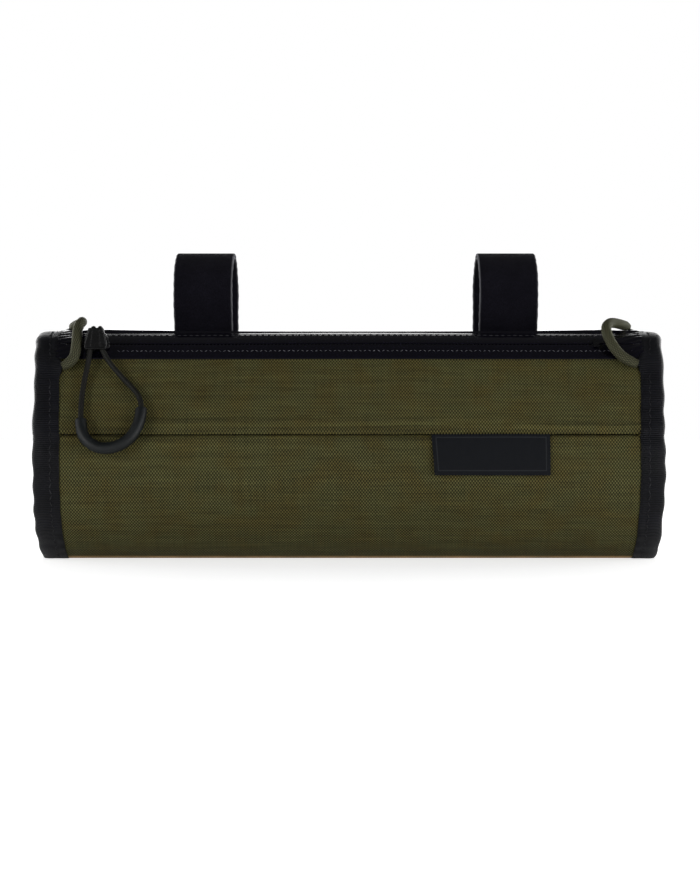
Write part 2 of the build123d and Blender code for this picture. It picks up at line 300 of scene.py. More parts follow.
def rows_of_stitches(first, last, pitch, length, s, g, slant, radius=0.17 * MM, rise=0.12 * MM):
    """A row of stitches along X at a place round the section, each slanting the other way."""
    x = np.arange(first, last - length, pitch)
    lean = slant * (-1.0) ** np.arange(len(x))
    starts, ends = place(x, s - lean, g), place(x + length, s + lean, g)
    return stitch_shell(starts, ends, normals(x, s + 0 * x), radius, rise)


# ---- materials -----------------------
class Nodes:
    """Shader nodes in the tree of a material or a world."""

    def __init__(self, owner):
        owner.use_nodes = True
        self.tree = owner.node_tree

    def plug(self, socket, value):
        """Links a node's output to a socket, or writes a value there. Every colour is opaque."""
        if isinstance(value, bpy.types.NodeSocket):
            self.tree.links.new(value, socket)
        else:
            socket.default_value = (*value[:3], 1.0) if socket.type == "RGBA" else value

    def add(self, kind, inputs=None, **settings):
        """A node. Its inputs are given by number or by name."""
        made = self.tree.nodes.new("ShaderNode" + kind)
        for key, value in settings.items():
            setattr(made, key, value)
        for key, value in (inputs or {}).items():
            self.plug(made.inputs[key], value)
        return made

    def math(self, operation, a, b=0.0, c=0.0):
        return self.add("Math", {0: a, 1: b, 2: c}, operation=operation).outputs[0]

    def times(self, a, b):
        return self.math("MULTIPLY", a, b)

    def plus(self, a, b):
        return self.math("ADD", a, b)

    def gap(self, a, b):
        """How far apart two values are."""
        return self.math("ABSOLUTE", self.math("SUBTRACT", a, b))

    def wave(self, coordinate, period):
        """A cosine of a coordinate, from -1 to 1."""
        return self.math("COSINE", self.times(coordinate, 2 * math.pi / period))

    def span(self, value, low, high, to_low=0.0, to_high=1.0):
        """A smooth step as a value goes from low to high."""
        inputs = {0: value, 1: low, 2: high, 3: to_low, 4: to_high}
        return self.add("MapRange", inputs, interpolation_type="SMOOTHSTEP").outputs[0]

    def mix(self, share, dark, light, way="MIX"):
        inputs = {0: share, 6: dark, 7: light}
        return self.add("Mix", inputs, data_type="RGBA", blend_type=way).outputs[2]

    def tinted(self, colour, by):
        return self.mix(1.0, colour, by, "MULTIPLY")

    def seen(self):
        """1 for what the camera sees, 0 for light on the bag. Only for the studio."""
        return self.add("LightPath").outputs["Is Camera Ray"]


class Look(Nodes):
    """A material made node by node around one Principled shader."""

    def __init__(self, name):
        self.material = bpy.data.materials.new(name)
        super().__init__(self.material)
        self.shader = next(n for n in self.tree.nodes if n.type == "BSDF_PRINCIPLED")
        uv = self.add("UVMap", uv_map="cloth").outputs[0]
        self.u, self.v, _ = self.add("SeparateXYZ", {0: uv}).outputs
        self.place = self.add("TexCoord").outputs["Object"]

    def noise(self, scale, detail=2.0, vector=None, rough=0.5):
        inputs = {"Vector": vector or self.place, "Scale": scale, "Detail": detail, "Roughness": rough}
        return self.add("TexNoise", inputs).outputs[0]

    def stretched(self, along_u, along_v):
        """The cloth's UV scaled differently each way, for streaks."""
        u, v = self.times(self.u, along_u), self.times(self.v, along_v)
        return self.add("CombineXYZ", {0: u, 1: v}).outputs[0]

    def finish(self, colour, rough, height=None, depth=None, shine=0.5, others=None):
        inputs = {"Base Color": colour, "Roughness": rough, "Specular IOR Level": shine, **(others or {})}
        if height is not None:
            inputs["Normal"] = self.add("Bump", {"Height": height, "Distance": depth}).outputs[0]
        for key, value in inputs.items():
            self.plug(self.shader.inputs[key], value)
        return self.material


def plain_weave(name, warp, weft, dark, light, tint, floor_glow=None, rough=0.75):
    """Two sets of yarns over and under each other, with uneven yarns and slow changes of colour."""
    look = Look(name)
    over = look.times(look.wave(look.u, 2 * warp), look.wave(look.v, 2 * weft))
    crest = look.math("POWER", look.math("ABSOLUTE", over), 0.6)
    weft_yarn = look.noise(1.0, 2.0, look.stretched(60, 1 / weft))
    warp_yarn = look.noise(1.0, 2.0, look.stretched(1 / warp, 40))
    colour = look.mix(look.span(over, -0.45, 0.45), dark, light)
    colour = look.mix(look.span(look.noise(95, 3.0), 0.35, 0.7), colour, look.tinted(colour, tint))
    streak = look.noise(1.0, 2.0, look.stretched(9, 420))
    uneven = look.plus(look.times(weft_yarn, 0.9), look.times(warp_yarn, 0.5))
    beside = look.span(look.gap(look.v, SEAM), 3 * MM, 9 * MM, 1.9, 0.5)
    uneven = look.plus(uneven, look.times(look.plus(streak, -0.5), beside))
    shade = look.times(look.span(crest, 0.0, 0.9, 0.65, 1.0), look.plus(uneven, 0.28))
    colour = look.tinted(colour, shade)
    # Painted bounce light: a warm, patchy glow along the bottom edge, where the cloth turns under towards
    # the bright floor.
    if floor_glow:
        edge = look.gap(look.v, BELLY_END - 1.4 * MM)
        floor_glow_share = look.times(look.span(edge, 1.6 * MM, 2.6 * MM, 1.0, 0.0), look.noise(60, 4.0))
        colour = look.mix(floor_glow_share, colour, floor_glow)
    height = look.plus(crest, look.times(weft_yarn, 0.6))
    return look.finish(colour, rough, height, 0.12 * MM, shine=0.2)


def ribbed(name, dark, light, rib, rough, along="v", shine=0.25):
    """Woven tape with ribs one way and fine yarns the other."""
    look = Look(name)
    way, other = (look.v, look.u) if along == "v" else (look.u, look.v)
    ribs = look.span(look.wave(way, rib), -0.8, 0.9)
    share = look.times(ribs, look.span(look.noise(90, 3.0), 0.3, 0.75, 0.35, 1.0))
    height = look.plus(ribs, look.times(look.wave(other, 0.42 * MM), 0.12))
    colour = look.mix(share, dark, light)
    return look.finish(colour, rough, height, 0.16 * MM, shine)


def woven_label(name, dark, light, thread):
    """Fine satin with a woven line round its border."""
    look = Look(name)
    low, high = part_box("label_tab")
    half_u, half_v = (high.x - low.x) / 2, (high.z - low.z) / 2
    sides = look.math("SUBTRACT", half_u, look.gap(look.u, (low.x + high.x) / 2))
    rise = look.math("SUBTRACT", half_v, look.gap(look.v, SEAM + half_v))
    inset = look.math("MINIMUM", sides, rise)
    line = look.math("COMPARE", inset, 1.7 * MM, 0.22 * MM)
    ribs = look.span(look.wave(look.v, 0.32 * MM), -0.8, 0.9)
    colour = look.mix(line, look.mix(ribs, dark, light), thread)
    height = look.plus(ribs, look.times(look.wave(look.u, 0.5 * MM), 0.4))
    return look.finish(colour, 0.6, height, 0.08 * MM, shine=0.25)


def coated(name, colour, rough):
    """Smooth film over woven tape: glossy, slightly uneven, with the weave just showing through."""
    look = Look(name)
    weave = look.times(look.wave(look.u, 0.9 * MM), look.wave(look.v, 0.9 * MM))
    height = look.plus(look.noise(260), look.times(weave, 0.05))
    scuffs = look.span(look.noise(35, 4.0, look.stretched(30, 400)), 0.55, 0.8, rough, rough + 0.16)
    return look.finish(colour, scuffs, height, 0.045 * MM)


def braid(name, dark, light, rough, turns, pitch):
    """The sleeve of a cord: strands that cross in diamonds."""
    look = Look(name)
    turned, gone = look.times(look.v, turns), look.math("DIVIDE", look.u, pitch)
    right, left = look.plus(turned, gone), look.math("SUBTRACT", turned, gone)
    strands = look.times(look.wave(right, 1.0), look.wave(left, 1.0))
    fibre = look.noise(1.0, 3.0, look.stretched(2600, 40))
    crest = look.math("ABSOLUTE", strands)
    share = look.times(look.span(crest, 0.0, 0.7), look.span(fibre, 0.2, 0.8, 0.5, 1.0))
    height = look.plus(crest, look.times(fibre, 0.3))
    return look.finish(look.mix(share, dark, light), rough, height, 0.1 * MM, shine=0.25)


def fuzzy(name, dark, light, edge, half_width):
    """Brushed loop pile with its edges painted paler, a painted highlight where light from behind catches
    them. v is the distance across the strap from its middle.
    """
    look = Look(name)
    pile = look.noise(2200, 4.0, rough=0.7)
    patches = look.span(look.noise(120, 3.0), 0.3, 0.7, 0.4, 1.0)
    colour = look.mix(look.times(look.span(pile, 0.35, 0.75), patches), dark, light)
    # Painted highlight: a paler band along each edge, where light from behind catches the fuzzy rim.
    rim = look.span(look.math("ABSOLUTE", look.v), half_width - 0.75 * MM, half_width - 0.1 * MM)
    colour = look.mix(rim, colour, edge)
    return look.finish(colour, 0.95, pile, 0.5 * MM, 0.1, {"Sheen Weight": 0.015})


def rubbery(name, dark, light, rough):
    """Moulded or drawn plastic, worn paler and rougher in patches."""
    look = Look(name)
    wear = look.noise(140, 3.0)
    colour = look.mix(look.span(wear, 0.4, 0.75), dark, light)
    rough = look.span(wear, 0.3, 0.7, rough, rough + 0.12)
    return look.finish(colour, rough, look.noise(1500, 3.0), 0.06 * MM)


def enamel():
    look = Look("black_enamel")
    wear = look.span(look.noise(420, 4.0), 0.66, 0.8)
    colour = look.mix(wear, (0.006, 0.006, 0.007), (0.05, 0.05, 0.052))
    return look.finish(colour, look.span(look.noise(150), 0.3, 0.7, 0.16, 0.34), look.noise(300), 0.03 * MM)


def foam_look():
    look = Look("closed_cell_foam")
    cells = look.add("TexVoronoi", {"Vector": look.place, "Scale": 1400.0}).outputs[0]
    return look.finish(look.mix(cells, (0.05, 0.05, 0.052), (0.11, 0.11, 0.115)), 0.9, cells, 0.2 * MM)


# The warm colour given last is painted bounce light from the floor along the olive cloth's bottom edge.
OLIVE = plain_weave("olive_weave", 0.61 * MM, 0.79 * MM, (0.026, 0.024, 0.0075), (0.172, 0.165, 0.058),
                    (1.0, 0.88, 0.74), floor_glow=(0.78, 0.50, 0.24))
LINING = plain_weave("lining_weave", 0.3 * MM, 0.3 * MM, (0.20, 0.21, 0.22), (0.40, 0.41, 0.42),
                     (0.9, 0.9, 0.9), rough=0.5)
LABEL = woven_label("label_weave", (0.002, 0.003, 0.005), (0.007, 0.009, 0.014), (0.024, 0.026, 0.03))
GROSGRAIN = ribbed("grosgrain", (0.001, 0.001, 0.002), (0.011, 0.012, 0.0195), 0.8 * MM, 0.42, shine=0.26)
WEBBING = ribbed("webbing_weave", (0.006, 0.006, 0.007), (0.02, 0.02, 0.023), 1.1 * MM, 0.55, along="u")
COATED = coated("coated_film", (0.0034, 0.003, 0.0072), 0.12)
COIL = rubbery("coil_nylon", (0.006, 0.006, 0.007), (0.014, 0.014, 0.016), 0.35)
GRIP = rubbery("grip_rubber", (0.003, 0.005, 0.006), (0.005, 0.008, 0.009), 0.45)
HOOD = rubbery("hood_nylon", (0.0008, 0.0008, 0.001), (0.003, 0.003, 0.0035), 0.2)
METAL = enamel()
THREAD = rubbery("black_thread", (0.010, 0.010, 0.013), (0.03, 0.03, 0.036), 0.5)
# Pale grey thread for the front tape's stitches: painted glints where the stitches catch the light.
GLINT = rubbery("tape_thread_glint", (0.10, 0.10, 0.115), (0.20, 0.20, 0.22), 0.35)
FOAM = foam_look()
STRAP_HALF = 12.5 * MM
# The third colour is the painted highlight along the straps' edges.
PILE = fuzzy("loop_pile", (0.005, 0.0045, 0.008), (0.015, 0.014, 0.023), (0.16, 0.16, 0.175), STRAP_HALF)
PULL_BRAID = braid("pull_braid", (0.004, 0.004, 0.003), (0.030, 0.030, 0.026), 0.55, 4, 3.4 * MM)
LOOP_BRAID = braid("loop_braid", (0.018, 0.018, 0.009), (0.150, 0.150, 0.084), 0.7, 7, 4.4 * MM)


# ---- panels --------------------------
CLOTH_END = PANEL_END + 4.6 * MM  # where the cut edges end, inside the folded binding
LIP_LINING_END = 79 * MM
GROOVE = 0.75 * MM
SIDES = (("left", -1), ("right", 1))


def seam_groove(x, s):
    """The front seam: the upper cloth is folded under, and both sides dip into the seam."""
    d = wrapped(s) - SEAM
    above = -0.7 * GROOVE * hump(d, 1.3 * MM)
    below = -1.3 * GROOVE * hump(d, 1.0 * MM)
    rolled = 0.3 * MM * hump(d + 3.2 * MM, 2.2 * MM)
    return np.where(d < 0, above + rolled, below)


def half_span(side, end, step=2.4 * MM):
    """X from the middle of the bag to one of its ends."""
    xs = np.linspace(0, side * end, round(end / step) + 1)
    return xs if side > 0 else xs[::-1]


def lip(piece):
    """A piece of the mouth's lip, with its transform baked into its mesh."""
    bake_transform(piece)


def main_panel():
    xs = np.linspace(-CLOTH_END, CLOTH_END, 102)
    rim = SEAM + np.array((0.12, 0.35, 0.7, 1.1, 1.6)) * MM
    ss = np.concatenate([rim, np.linspace(SEAM + 2.4 * MM, GIRTH + front_tilt(82), 128)])
    shell = sheet_shell(xs, ss, 1.0 * MM, seam_groove)
    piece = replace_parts(build("body_cloth", [shell], OLIVE), "main_panel")
    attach(piece, "bag")


def front_panels():
    fold = SEAM - np.array((1.5, 1, 0.6, 0.3, 0.12)) * MM
    ss = np.append(np.linspace(front_tilt(42), SEAM - 2 * MM, 24), fold)
    for name, side in SIDES:
        shell = sheet_shell(half_span(side, CLOTH_END), ss, 1.0 * MM, seam_groove)
        piece = build(f"front_cloth_{name}", [shell], OLIVE)
        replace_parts(piece, "front_panel", "front_panel_ends")
        lip(piece)


def mouth_linings():
    ss = np.linspace(front_tilt(39), SEAM - 1.0 * MM, 24)

    def wrinkles(x, s):
        return -1.15 * MM + 0.1 * MM * np.sin(x / 0.007 + s / 0.004) * np.sin(s / 0.006)

    for name, side in SIDES:
        shell = sheet_shell(half_span(side, LIP_LINING_END), ss, 0.5 * MM, wrinkles)
        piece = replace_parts(build(f"lip_lining_{name}", [shell], LINING), "mouth_lining")
        lip(piece)


def stuffing():
    xs = np.linspace(-PANEL_END + 0.5 * MM, PANEL_END - 0.5 * MM, 60)
    ss = np.linspace(SEAM + 1.2 * MM, GIRTH + 0.2 * MM, 80)
    shell = sheet_shell(xs, ss, 2.3 * MM, lambda x, s: -1.15 * MM)
    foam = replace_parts(build("body_foam", [shell], FOAM), "foam_stiffener")
    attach(foam, "bag")
    xs = np.linspace(-PANEL_END + 1.6 * MM, PANEL_END - 1.6 * MM, 110)
    ss = np.linspace(SEAM + 1.5 * MM, GIRTH + front_tilt(64), 120)

    def creases(x, s):
        return -4.2 * MM - 0.3 * MM * np.sin(x / 0.006 + 2 * np.sin(s / 0.02)) * np.sin(s / 0.009)

    shell = sheet_shell(xs, ss, 0.5 * MM, creases)
    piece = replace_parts(build("inner_lining", [shell], LINING), "body_lining")
    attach(piece, "bag")


def disc_shell(side, x_outer, thick, inset, dome):
    """A cut piece that fills the section: rings of points from its middle to its rim."""
    share = np.concatenate([np.linspace(0.03, 0.86, 12), np.linspace(0.89, 1.0, 6)])
    ss = np.linspace(-HALF_GIRTH, HALF_GIRTH, 150, endpoint=False)
    y, z, ny, nz = section(ss)
    centre = np.array((0, BELLY_Z + 4 * MM))
    rim = np.stack([y - inset * ny, z - inset * nz], axis=-1)
    flat = centre + share[:, None, None] * (rim - centre)[None]
    pucker = 0.25 * MM * np.sin(ss / 0.0019)[None] * smooth((share[:, None] - 0.8) / 0.2)
    out = x_outer + dome * (1 - share[:, None] ** 2) + pucker
    outer, inner = [np.concatenate([side * x[..., None], flat], axis=-1) for x in (out, out - thick)]
    rings, n = np.concatenate([outer, inner[::-1]]), len(ss)
    points, quads, _ = grid(rings, np.zeros(len(rings)), np.zeros(n + 1), close_j=True)
    quads += end_faces(len(points), n)
    order = [k for q in quads for k in q]
    return points, quads, points[order][:, 1:]


def end_panels():
    for name, side in SIDES:
        shell = disc_shell(side, PANEL_END + 1.1 * MM, 1.0 * MM, 0.6 * MM, 1.2 * MM)
        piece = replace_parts(build(f"end_cloth_{name}", [shell], OLIVE), f"end_panel_{name}")
        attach(piece, "bag")
        shell = disc_shell(side, PANEL_END - 0.7 * MM, 0.5 * MM, 4.3 * MM, 0.4 * MM)
        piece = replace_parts(build(f"end_lining_{name}", [shell], LINING), "lining_ends")
        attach(piece, "bag")


# ---- bindings ------------------------
LOOP_FOOT = {"left": at_height(79.3 * MM), "right": at_height(80.6 * MM)}
LOOP_BACK = -3 * MM
BINDING_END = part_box("end_binding_right")[1].x


def crowning(s):
    """1 over the zip and the top, where the binding is narrower and rides over more layers, else 0."""
    return smooth((front_tilt(15) - s) / (16 * MM)) * smooth((s + 14 * MM) / (8 * MM))


def widening(s):
    """How far the bindings stand out more, from the middle of the front up to the top."""
    y = section(s)[0]
    return np.clip(0.13 * (y + BELLY), 0, 3.6 * MM) * smooth((s - 1 * MM) / (8 * MM)) * (wrapped(s) < SEAM)


def binding_inner(s):
    return PANEL_END + 0.9 * MM + widening(s)


def binding(name, side):
    """Ribbed tape folded over the rim. Its outer fold is scalloped by the stitching."""
    ss = np.linspace(-HALF_GIRTH, HALF_GIRTH, 420, endpoint=False)
    gather = [hump(ss - foot, 3.2 * MM) for foot in (LOOP_FOOT[name], LOOP_BACK)]
    over_cord = (1.5 * gather[0] + 2.2 * gather[1]) * MM
    crown = crowning(ss)
    wander = 0.6 * np.sin(ss / 0.0021 + 1.6 * np.sin(ss / 0.013 + side))
    wander = wander + 0.4 * np.sin(ss / 0.0063 + 2 * side)
    fold = BINDING_END + (0.2 - 0.45 * side + 0.38 * wander) * MM + 0.6 * widening(ss)
    inner = binding_inner(ss) + 0.1 * MM * wander - 1.6 * MM * gather[0]
    width = fold - inner
    # Where the tape's profile passes: how far across it, and how far off the skin.
    profile = [(0, -0.3), (0, 0.45), (0.05, 0.66), (0.2, 0.74), (0.35, 0.56), (0.45, 0.72), (0.6, 0.85),
               (0.78, 0.75), (0.9, 0.4), (0.97, -0.2), (1, -0.9), (0.97, -1.6), (0.9, -2.1), (0.78, -2.4),
               (0.6, -2.5), (0.35, -2.55), (0.2, -2.5), (0.17, -2.3), (0.17, -0.6)]
    rings = []
    for share, g in profile:
        puff = 0.16 * MM * wander * math.sin(math.pi * share) if g > 0 else 0
        lift = (crown * 0.45 * MM * (1 - share) + over_cord * (1 - share) ** 2) if g > 0 else 0
        rings.append(place(side * (inner + width * share), ss, g * MM + puff + lift))
    rings = np.stack(rings, axis=1)
    rings[..., 2] = np.maximum(rings[..., 2], 0.0)
    v = along(np.array(profile) * MM * (10, 1))
    points, faces, uvs = grid(rings, np.append(ss, HALF_GIRTH), np.append(v, v[-1]), True, True)
    piece = build(f"binding_tape_{name}", [(points, faces, uvs[:, ::-1])], GROSGRAIN)
    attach(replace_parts(piece, f"end_binding_{name}"), "bag")


def binding_stitches(name, side):
    """Slanting stitches through the tape, on its outer and its inner leg."""
    ss = np.arange(-HALF_GIRTH + 14.6 * MM, HALF_GIRTH - 14.6 * MM, 2.6 * MM)
    ss = ss[abs(ss - LOOP_FOOT[name]) > 4 * MM]
    shells = []
    for g, outward, lift in ((0.6, 1, 0.3), (-2.52, -1, 0)):
        lean = 0.35 * MM * (-1.0) ** np.arange(len(ss))
        x = side * (binding_inner(ss) + 3.6 * MM)
        height = g * MM + lift * MM * crowning(ss)
        starts, ends = place(x - lean, ss, height), place(x + lean, ss + 1.9 * MM, height)
        shells.append(stitch_shell(starts, ends, outward * normals(x, ss), 0.2 * MM, 0.14 * MM))
    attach(build(f"binding_stitches_{name}", shells, THREAD), "bag")


# ---- the zip -------------------------
ZIP_TILT = 51.1
SLIT_HALF = 0.6
TAPE_GROW = 0.8 * MM
FRONT_EDGE = front_tilt(ZIP_TILT - SLIT_HALF)
REAR_EDGE = front_tilt(ZIP_TILT + SLIT_HALF)
COIL_START, COIL_END = -113 * MM, 103 * MM


def film_lift(x, s):
    """The coated tape lies on the cloth, and buckles where the bindings gather it."""
    s = wrapped(s)
    near = np.exp(np.minimum(abs(x) - PANEL_END - 3 * MM, 0) / (7 * MM))
    buckle = np.sin(s / 0.0010 + x / 0.0022) * near * 0.45 * MM
    return TAPE_GROW + np.abs(buckle)


def strip_lift(x, s):
    """The strip along the top has a folded rim that stands up behind its front edge, more at the ends."""
    s = wrapped(s)
    ends = (x / PANEL_END) ** 2 * smooth((PANEL_END + 1 * MM - abs(x)) / (14 * MM))
    rim = smooth((front_tilt(79.5) - s) / (0.9 * MM)) * (0.45 + 1.0 * ends) * MM
    return film_lift(x, s) - 0.12 * MM + rim * smooth((s + 5 * MM) / (4 * MM))


def tapes():
    front = np.linspace(FRONT_EDGE, front_tilt(32), 24)
    for name, side in SIDES:
        shell = sheet_shell(half_span(side, CLOTH_END, 0.9 * MM), front, 0.6 * MM, film_lift)
        piece = build(f"tape_front_{name}", [shell], COATED)
        lip(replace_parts(piece, "zip_tape_front", "zip_tape_front_ends"))
    xs = np.linspace(-CLOTH_END, CLOTH_END, 270)
    shell = sheet_shell(xs, np.linspace(front_tilt(70), REAR_EDGE, 24), 0.6 * MM, film_lift)
    piece = build("tape_rear", [shell], COATED)
    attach(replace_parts(piece, "zip_tape_rear"), "bag")
    strip = np.linspace(-5 * MM, front_tilt(70.3), 44)
    shell = sheet_shell(xs, strip, 0.5 * MM, strip_lift)
    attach(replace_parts(build("top_film", [shell], COATED), "top_strip"), "bag")


def tape_stitches():
    for name, side in SIDES:
        first, last = (0, 118 * MM) if side > 0 else (-96 * MM, 0)
        shell = rows_of_stitches(first, last, 1.9 * MM, 0.9 * MM, front_tilt(41.2), TAPE_GROW,
                                 0.25 * MM, 0.13 * MM, 0.05 * MM)
        lip(build(f"stitches_front_{name}", [shell], GLINT))
    rear = [rows_of_stitches(-112 * MM, 118 * MM, 2.5 * MM, 1.5 * MM, front_tilt(67.5), TAPE_GROW, 0.0)]
    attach(build("stitches_rear", rear, THREAD), "bag")


def coil(first, last, middle, phase):
    """A wound monofilament sewn under the tape's edge."""
    pitch, steps = 1.5 * MM, 10
    turn = np.arange(0, (last - first) / pitch, 1 / steps)
    angle = 2 * math.pi * turn + phase
    deep = -1.1 * MM + 0.65 * MM * np.sin(angle)
    path = place(first + turn * pitch, middle + 0.75 * MM * np.cos(angle), deep)
    return tube_shell(path, np.full((len(path), 5), 0.27 * MM), 5)


def coils():
    front, rear = FRONT_EDGE + 1.0 * MM, REAR_EDGE - 1.0 * MM
    for (name, side), (first, last) in zip(SIDES, ((COIL_START, 0), (0, COIL_END))):
        piece = build(f"coil_front_{name}", [coil(first, last, front, 0.0)], COIL, sharp=180)
        lip(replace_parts(piece, "zip_coil_front", "zip_coil_front_ends"))
    piece = build("coil_rear", [coil(COIL_START, COIL_END, rear, math.pi)], COIL, sharp=180)
    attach(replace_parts(piece, "zip_coil_rear"), "bag")


# ---- slider --------------------------
zip_y, zip_z, zip_ny, zip_nz = [float(c) for c in section(front_tilt(ZIP_TILT))]
SLIDER_AT = np.array((-104.5 * MM, zip_y, zip_z))
OUT = np.array((0, zip_ny, zip_nz))
# Unit vectors along the zip, up its slope and out of its tape.
SLIDER_WAYS = np.array([(1.0, 0, 0), np.cross(OUT, (1.0, 0, 0)), OUT])


def on_slider(u, v, h):
    """A point from distances along the zip, up the slope and out from the tape's face."""
    return SLIDER_AT + np.stack(np.broadcast_arrays(u, v, h + TAPE_GROW), axis=-1) @ SLIDER_WAYS


def lofted(outline, levels):
    """Rings of an outline (u, v) at levels (scale, height in mm), closed top and bottom."""
    u, v = outline
    rings = np.stack([on_slider(u * k, v * k, h * MM + 0 * u) for k, h in levels])
    n = len(u)
    points, faces, uvs = grid(rings, np.arange(len(rings)) * MM, np.linspace(0, 0.03, n + 1), close_j=True)
    faces += [face[::-1] for face in end_faces(len(points), n)]
    return points, faces, np.concatenate([uvs, np.zeros((2 * n, 2))])


def rounded(half_u, half_v, power, taper, count=40):
    """A rectangle's outline with round corners, narrower at its upper end by the taper."""
    c, s = np.cos(angles(count)), np.sin(angles(count))
    u = half_u * np.sign(c) * np.abs(c) ** (2 / power)
    v = half_v * np.sign(s) * np.abs(s) ** (2 / power)
    return u * (1 - taper * v / half_v), v


def slider():
    plate = rounded(5.0 * MM, 4.8 * MM, 2.8, 0.22)
    under = rounded(4.4 * MM, 3.0 * MM, 3.0, 0.1)
    neck = rounded(2.4 * MM, 0.24 * MM, 4.0, 0.0, 16)
    shells = [lofted(plate, [(0.95, 0.1), (1.0, 0.25), (1.0, 0.6), (0.94, 1.0), (0.83, 1.3), (0.4, 1.38)]),
              lofted(under, [(0.8, -4.0), (1.0, -3.8), (1.0, -3.2), (0.9, -3.0)]),
              lofted(neck, [(1.0, -3.1), (1.0, 0.4)])]
    leg = [(4.0, 1.2), (3.9, 2.4), (3.5, 3.7), (3.0, 4.7), (1.8, 5.0)]
    bail = [(-u, h) for u, h in leg] + [(0, 5.05)] + leg[::-1]
    line = curve_points([(u * MM, 0.0, h * MM) for u, h in bail])
    path = on_slider(line[:, 0], 0.0, line[:, 2])
    width = 0.62 + 0.35 * smooth(np.abs(line[:, 0]) / (4 * MM) * 2 - 1)
    shells.append(tube_shell(path, np.repeat(width[:, None] * MM, 12, axis=1), 12))
    piece = build("slider_metal", shells, METAL, sharp=40)
    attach(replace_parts(piece, "zip_slider"), "slider")


# ---- cords ---------------------------
def curve_points(route):
    """Points along a smooth curve that has the route's points as its control points."""
    curve = bpy.data.curves.new("route", "CURVE")
    curve.dimensions = "3D"
    curve.resolution_u = 24
    spline = curve.splines.new("NURBS")
    spline.points.add(len(route) - 1)
    for point, corner in zip(spline.points, route):
        point.co = (*corner, 1.0)
    spline.order_u = 3
    spline.use_endpoint_u = True
    holder = bpy.data.objects.new("route", curve)
    mesh = bpy.data.meshes.new_from_object(holder)
    points = np.array([v.co for v in mesh.vertices], float)
    bpy.data.objects.remove(holder)
    bpy.data.meshes.remove(mesh)
    bpy.data.curves.remove(curve)
    return points


def resampled(path, count, endpoint=True):
    """The same line with that many points, evenly apart."""
    at = along(path)
    to = np.linspace(0, at[-1], count, endpoint)
    return np.stack([np.interp(to, at, way) for way in path.T], axis=1)


def cord_path(route, step):
    """Points evenly along a route's smooth curve."""
    path = curve_points(route)
    return resampled(path, round(along(path)[-1] / step) + 1)


def braided(path, radius, turns, pitch, depth, sides):
    """Radii of a braided sleeve: crossing strands stand up in diamonds."""
    t, angle = np.meshgrid(along(path) / pitch, np.arange(sides) / sides, indexing="ij")
    strands = np.cos(2 * math.pi * (turns * angle + t)) * np.cos(2 * math.pi * (turns * angle - t))
    return radius - depth + depth * np.abs(strands) ** 0.6


PULL_ROUTE = [
    (-0.10585, -0.0232, 0.0908),
    (-0.10585, -0.0203, 0.0931),
    (-0.10585, -0.0228, 0.0963),
    (-0.1059, -0.0264, 0.0932),
    (-0.1065, -0.0273, 0.0882),
    (-0.1074, -0.0294, 0.0804),
    (-0.1087, -0.0328, 0.0726),
    (-0.1093, -0.0367, 0.0646),
    (-0.10895, -0.0413, 0.0552),
    (-0.1072, -0.0435, 0.0500),
    (-0.1016, -0.0444, 0.0460),
    (-0.0944, -0.0444, 0.0464),
    (-0.0882, -0.0436, 0.0502),
    (-0.0847, -0.0405, 0.0576),
    (-0.0847, -0.0367, 0.0660),
    (-0.0889, -0.0339, 0.0709),
    (-0.0936, -0.0315, 0.0756),
    (-0.0986, -0.0292, 0.0811),
    (-0.1022, -0.0273, 0.0872),
    (-0.1031, -0.0264, 0.0932),
    (-0.10315, -0.0228, 0.0963),
    (-0.10315, -0.0203, 0.0931),
    (-0.10315, -0.0232, 0.0908),
]
PULL_DIAMETER = 2.3 * MM
GRIP_DIAMETER = 4.8 * MM
GRIP_BORE = 2.5 * MM
GRIP_ENDS = ((-0.10905, -0.0401, 0.0577), (-0.0847, -0.0384, 0.0623))
HOOD_CENTRE = np.array((-104.4, -23.15, 93.24)) * MM
HOOD_LEAN = math.radians(12.5)
HOOD_FRONT = 4.85 * MM  # from the hood's centre to its face, where the ribs' middles lie

LOOP_ROUTES = {
    "left": [
        (-0.1179, -0.0303, 0.0795),
        (-0.1132, -0.0298, 0.0816),
        (-0.1122, -0.0275, 0.0886),
        (-0.1126, -0.0220, 0.0962),
        (-0.1114, -0.0135, 0.0992),
        (-0.1138, -0.0050, 0.0982),
        (-0.1179, 0.0030, 0.0976),
    ],
    "right": [
        (0.1179, -0.0298, 0.0804),
        (0.1126, -0.0290, 0.0824),
        (0.1076, -0.0264, 0.0886),
        (0.1054, -0.0216, 0.0956),
        (0.1083, -0.0145, 0.0986),
        (0.1138, -0.0060, 0.0982),
        (0.1179, 0.0030, 0.0976),
    ],
}
LOOP_DIAMETER = 4.4 * MM


def pull():
    path = cord_path(PULL_ROUTE, 0.3 * MM)
    radii = braided(path, PULL_DIAMETER / 2, 4, 3.4 * MM, 0.2 * MM, 24)
    cord = build("pull_braid_cord", [tube_shell(path, radii, 24)], PULL_BRAID, sharp=180)
    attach(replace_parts(cord, "zip_pull_cord"), "pull")
    first, last = [int(np.argmin(np.linalg.norm(path - np.array(end), axis=1))) for end in GRIP_ENDS]
    run = path[first : last + 1]
    n = len(run)
    order = np.concatenate([[0, 0], np.arange(1, n - 1), [n - 1, n - 1], np.arange(n - 2, 0, -1)])
    outer, bore = GRIP_DIAMETER / 2, GRIP_BORE / 2
    rim = outer - 0.25 * MM
    rings = np.array([bore, rim] + [outer] * (n - 2) + [rim, bore] + [bore] * (n - 2))
    points = run[order][:, None] + circles(run, 24)[order] * rings[:, None, None]
    shell = grid(points, np.arange(len(order) + 1) * 0.3 * MM, np.linspace(0, 1, 25), True, True)
    grip = build("pull_grip_sleeve", [shell], GRIP, sharp=40)
    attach(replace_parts(grip, "zip_pull_grip"), "pull")


